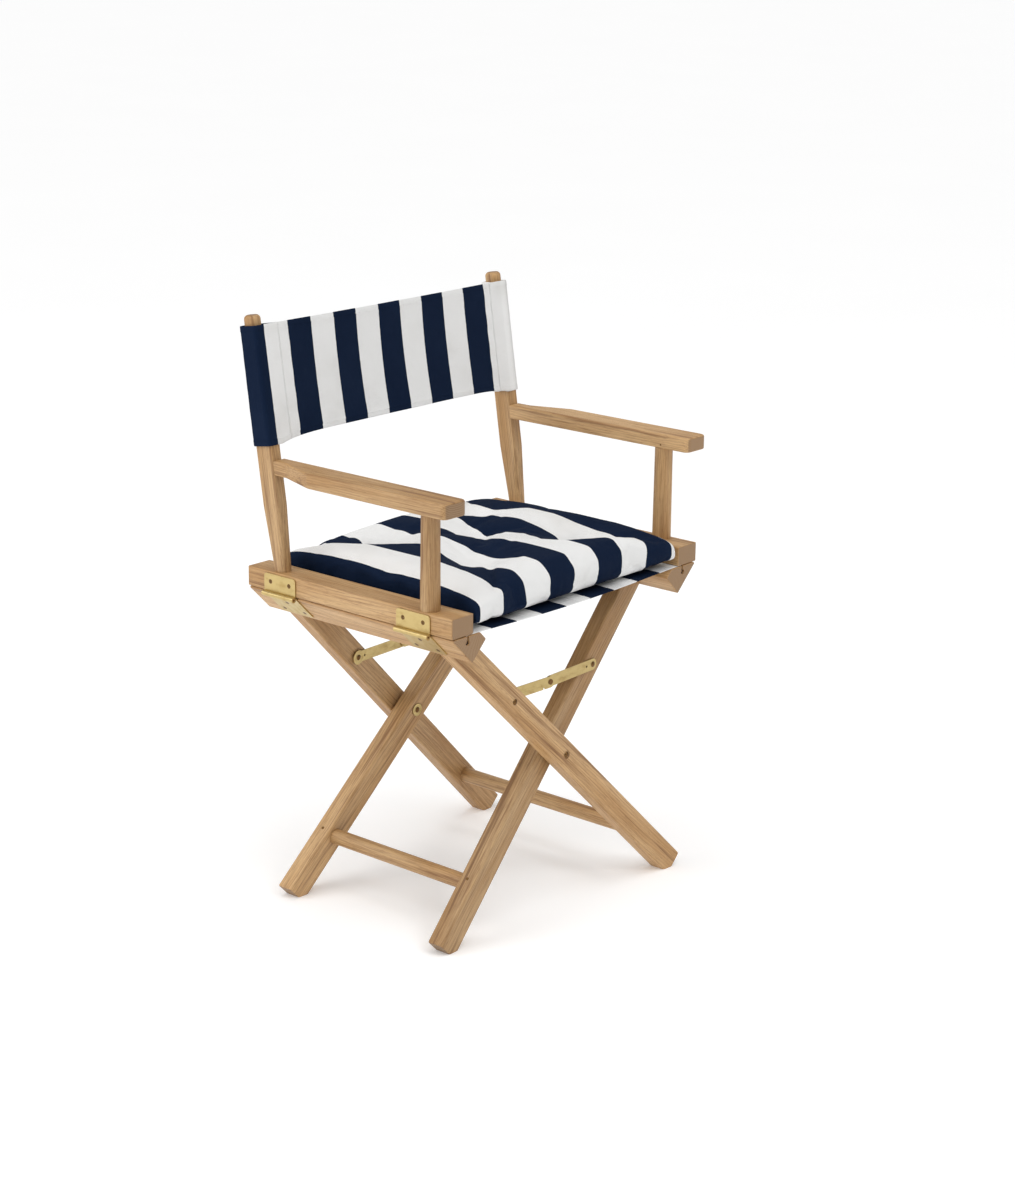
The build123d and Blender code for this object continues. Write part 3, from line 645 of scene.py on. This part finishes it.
# ---------------------------------------------------------------- cushion
CUSHION_STRIPE = 53.4 * MM
CUSHION_FIRST_NAVY = -267.5 * MM
TUFTS = ((-82, -76), (114, -86), (34, 24), (-102, 108), (128, 106))  # mm from the seat's middle
TUFT_Z = 497.0 * MM
SEAM_Z = 493.5 * MM
CROWN_Z = 527.0 * MM
EDGE_POWER = 6.5
EDGE_PULL = 4.0 * MM
EXTRA_HALF_Y = 3.0 * MM  # past the CAD box, before the sides pull in between the corners
UNDERSIDE_LIFT = 0.6 * MM
TUFT_RADIUS = 17.0 * MM
TUFT_HELD = 5.0 * MM  # held this far round each tuft while the cushion swells
UNDERSIDE_HELD = 3.0 * MM  # and this far up from its lowest plane
COLUMNS, ROWS = 97, 83

cushion_low, cushion_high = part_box("seat_cushion")
rail_low, rail_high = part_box("right_upper_rail")
rail_y = (rail_low.y + rail_high.y) / 2


def from_tuft(x, y, tuft):
    """Distance in plan from one of the tufts."""
    return np.hypot(x - tuft[0] * MM, y - tuft[1] * MM - rail_y)


def crowned_profile(half, height, count):
    """Rounded box profile, evenly stepped: place across, share of the height, flat distance."""
    angle = np.linspace(0, pi / 2, 400)
    x = half * np.sin(angle) ** (2 / EDGE_POWER)
    z = height * np.cos(angle) ** (2 / EDGE_POWER)
    line, run = resample(np.stack([x, z], axis=1), count // 2 + 1)
    place = np.concatenate([-line[:0:-1, 0], line[:, 0]])
    share = np.concatenate([line[:0:-1, 1], line[:, 1]]) / height
    flat = np.concatenate([-run[:0:-1], run])
    return place, np.clip(share, 0, 1), flat


def cushion_shape():
    """The cushion before it swells: points, its untufted rest shape, flat places and faces."""
    middle = (cushion_low + cushion_high) / 2
    half_x = (cushion_high.x - cushion_low.x) / 2
    half_y = (cushion_high.y - cushion_low.y) / 2 + EXTRA_HALF_Y
    x, height_x, flat_x = crowned_profile(half_x, CROWN_Z - SEAM_Z, COLUMNS)
    y, height_y, flat_y = crowned_profile(half_y, CROWN_Z - SEAM_Z, ROWS)
    share_x, share_y = np.meshgrid(x / half_x, y / half_y)
    plan_x = middle.x + share_x * (half_x - EDGE_PULL * (1 - share_y**2))
    plan_y = middle.y + share_y * (half_y - EDGE_PULL * (1 - share_x**2))
    rise = np.outer(height_y, height_x)
    top = np.stack([plan_x, plan_y, SEAM_Z + (CROWN_Z - SEAM_Z) * rise], axis=2)
    floor_z = cushion_low.z + UNDERSIDE_LIFT
    bottom = np.stack([plan_x, plan_y, SEAM_Z - (SEAM_Z - floor_z) * rise**1.2], axis=2)

    tufted = top.copy()
    for tuft in TUFTS:
        away = from_tuft(plan_x, plan_y, tuft)
        tufted[..., 2] -= (CROWN_Z - TUFT_Z) * np.exp(-((away / TUFT_RADIUS) ** 2))

    count = ROWS * COLUMNS
    index = np.arange(count).reshape(ROWS, COLUMNS)
    under = index + count
    under[0], under[-1], under[:, 0], under[:, -1] = index[0], index[-1], index[:, 0], index[:, -1]
    faces = np.concatenate([grid_faces(index)[:, ::-1], grid_faces(under)])
    points = np.concatenate([tufted.reshape(-1, 3), bottom.reshape(-1, 3)])
    rest = np.concatenate([top.reshape(-1, 3), bottom.reshape(-1, 3)])
    flat = np.stack(np.meshgrid(flat_x, flat_y), axis=2).reshape(-1, 2)
    used = np.unique(faces)
    renumber = np.zeros(len(points), int)
    renumber[used] = np.arange(len(used))
    return points[used], rest[used], np.tile(flat, (2, 1))[used], renumber[faces], used < count


def swell(piece, rest, pins, frames=20, pressure=4.0, cap=14 * MM):
    """Cloth simulation under pressure towards the untufted cut; returns the settled points."""
    start = np.array([v.co for v in piece.data.vertices])
    piece.shape_key_add(name="Start")
    cut = piece.shape_key_add(name="Cut")
    cut.data.foreach_set("co", rest.astype(np.float32).ravel())
    cut.value = 0.0
    group = piece.vertex_groups.new(name="pins")
    group.add([int(i) for i in np.flatnonzero(pins)], 1.0, "REPLACE")
    cloth = piece.modifiers.new("Swell", "CLOTH")
    settings = cloth.settings
    settings.rest_shape_key = cut
    settings.quality = 6
    settings.mass = 0.25
    settings.tension_stiffness = settings.compression_stiffness = 25
    settings.shear_stiffness = 12
    settings.bending_stiffness = 0.35
    settings.use_pressure = True
    settings.uniform_pressure_force = pressure
    settings.shrink_min = -0.02
    settings.vertex_group_mass = "pins"
    settings.effector_weights.gravity = 0
    cloth.point_cache.frame_start, cloth.point_cache.frame_end = 1, frames
    scene = bpy.context.scene
    for number in range(1, frames + 1):
        scene.frame_set(number)
    settled = piece.evaluated_get(bpy.context.evaluated_depsgraph_get()).to_mesh()
    points = np.array([v.co for v in settled.vertices])
    scene.frame_set(1)
    piece.modifiers.remove(cloth)
    piece.shape_key_clear()
    move = points - start
    size = np.linalg.norm(move, axis=1, keepdims=True)
    return start + move * np.minimum(1, cap / np.maximum(size, 1e-9))


def seat_pad(material):
    """Loose cushion: held underneath and at its tufts while it swells."""
    points, rest, flat, faces, is_top = cushion_shape()
    piece = mesh_object("seat_pad", points, faces, material, flat)
    pins = (rest[:, 2] < cushion_low.z + UNDERSIDE_HELD) & ~is_top
    for tuft in TUFTS:
        pins |= is_top & (from_tuft(points[:, 0], points[:, 1], tuft) < TUFT_HELD)
    settled = swell(piece, rest, pins)
    settled[:, 2] = np.maximum(settled[:, 2], cushion_low.z)
    piece.data.vertices.foreach_set("co", settled.astype(np.float32).ravel())
    piece.data.update()
    finer = piece.modifiers.new("Finer", "SUBSURF")
    finer.levels = finer.render_levels = 1
    evaluated = piece.evaluated_get(bpy.context.evaluated_depsgraph_get())
    piece.data = bpy.data.meshes.new_from_object(evaluated)
    piece.modifiers.clear()
    return piece


# ---------------------------------------------------------------- studio
CAMERA_PLACE = (-2.7228, rail_y - 2.3923, 1.5137)
CAMERA_AZIMUTH = radians(-48.15)
CAMERA_ELEVATION = radians(16.07)
CAMERA_ROLL = radians(0.32)
FOCAL_MM = 77.34
CAMERA_SHIFT = (0.0459, -0.0184)
FLOOR_HALF, FLOOR_Z = 40, -0.2 * MM


def view_axes():
    """Right, up and backward axes of the camera."""
    a, e = CAMERA_AZIMUTH, CAMERA_ELEVATION
    back = Vector((sin(a) * cos(e), -cos(a) * cos(e), sin(e)))
    level = Vector((cos(a), sin(a), 0))
    upright = back.cross(level)
    right = level * cos(CAMERA_ROLL) + upright * sin(CAMERA_ROLL)
    return right, back.cross(right), back


def camera():
    data = bpy.data.cameras.new("camera")
    data.sensor_width = 36
    data.lens = FOCAL_MM
    data.shift_x, data.shift_y = CAMERA_SHIFT
    eye = bpy.data.objects.new("camera", data)
    bpy.context.scene.collection.objects.link(eye)
    turn = Matrix(view_axes()).transposed().to_4x4()
    eye.matrix_world = Matrix.Translation(CAMERA_PLACE) @ turn
    bpy.context.scene.camera = eye


def area_light(name, place, target, size, power):
    data = bpy.data.lights.new(name, "AREA")
    data.shape = "DISK"
    data.size = size
    data.energy = power
    lamp = bpy.data.objects.new(name, data)
    bpy.context.scene.collection.objects.link(lamp)
    lamp.location = place
    lamp.rotation_euler = (Vector(target) - Vector(place)).to_track_quat("-Z", "Y").to_euler()


def floor():
    shader = Shader("pale_floor")
    rest = shader.add("ShaderNodeTexCoord").outputs["Object"]
    cloud = shader.noise(shader.scaled(rest, (1.5, 1.5, 1.5)), detail=2)
    color = shader.mix(cloud, (0.94, 0.94, 0.94, 1), (0.96, 0.96, 0.96, 1))
    material = shader.finish(
        Base_Color=color,
        Roughness=0.9,
        Specular_IOR_Level=0.1,
        Emission_Color=(1, 1, 1, 1),
        Emission_Strength=0.13,
    )
    corners = ((-1, -1), (1, -1), (1, 1), (-1, 1))
    points = [(x * FLOOR_HALF, y * FLOOR_HALF, FLOOR_Z) for x, y in corners]
    mesh_object("floor", points, [(0, 1, 2, 3)], material, smooth=False)


def studio():
    """A soft window, a small accent, an overcast sky and a white world."""
    right, up, back = view_axes()
    middle = Vector((0, 0, 0.45))
    toward = Vector((back.x, back.y, 0)).normalized()
    side = Vector((right.x, right.y, 0)).normalized()
    area_light("window", middle - side * 2.5 + toward * 0.9 + Vector((0, 0, 1.5)), middle, 2.6, 38)
    area_light("accent", middle + side * 1.5 + toward * 1.6 + Vector((0, 0, 1.9)), middle, 0.7, 8)
    sky = bpy.data.lights.new("skylight", "SUN")
    sky.energy = 1.3
    sky.angle = radians(70)
    overhead = bpy.data.objects.new("skylight", sky)
    sunward = side * 0.2 + toward * 0.15 + Vector((0, 0, 1))
    overhead.rotation_euler = sunward.to_track_quat("Z", "Y").to_euler()
    bpy.context.scene.collection.objects.link(overhead)
    world = bpy.data.worlds.new("studio")
    world.use_nodes = True
    background = world.node_tree.nodes["Background"]
    background.inputs["Color"].default_value = (1, 1, 1, 1)
    background.inputs["Strength"].default_value = 0.5
    bpy.context.scene.world = world
    bpy.context.scene.view_settings.view_transform = "Standard"


# ---------------------------------------------------------------- putting it together
AGED_FIXINGS = ("_screws", "_rivets", "_rivet", "_nails", "_bolt", "_pin")


def finish_cad_nodes():
    """Give each wood or brass node its own material, so that no two boards look alike."""
    slots = {row["node"]: row["material_slot"] for row in frame["record"]["subparts"]}
    for seed, name in enumerate(sorted(slots)):
        piece = nodes[name]
        if slots[name] == "brass":
            material = brass(piece, seed, aged=name.endswith(AGED_FIXINGS))
        elif slots[name] in ("teak", "dowel"):
            material = wood(piece, seed)
        else:
            continue
        piece.data.materials.clear()
        piece.data.materials.append(material)


def soft_goods():
    back_cloth = canvas("back_canvas", BACK_FIRST_NAVY, BACK_STRIPE)
    sling_cloth = canvas("sling_canvas", SLING_FIRST_NAVY, SLING_STRIPE)
    pad_cloth = canvas("cushion_canvas", CUSHION_FIRST_NAVY, CUSHION_STRIPE)

    panel, panel_thread = back_panel(back_cloth)
    anchor = back_place(-TIP_X, 0.0, 0.0)
    for piece in (panel, panel_thread):
        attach(piece, "right_side")
        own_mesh(piece)
    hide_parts("backrest_canvas")

    for side in (RIGHT, LEFT):
        piece, seam = sleeve(side, back_cloth)
        around = sleeve_section(side, 0.0)[1][-1]
        for part in (piece, seam):
            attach(part, f"{SIDE_NAMES[side]}_side")

        half, hem = sling_half(side, sling_cloth)
        for part in (half, hem):
            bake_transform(part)
        sling_section(side)[1][-1]
        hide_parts("seat_sling")

    pad = seat_pad(pad_cloth)
    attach(pad, "cushion")
    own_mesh(pad)
    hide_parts("seat_cushion")


finish_cad_nodes()
soft_goods()
floor()
studio()
camera()
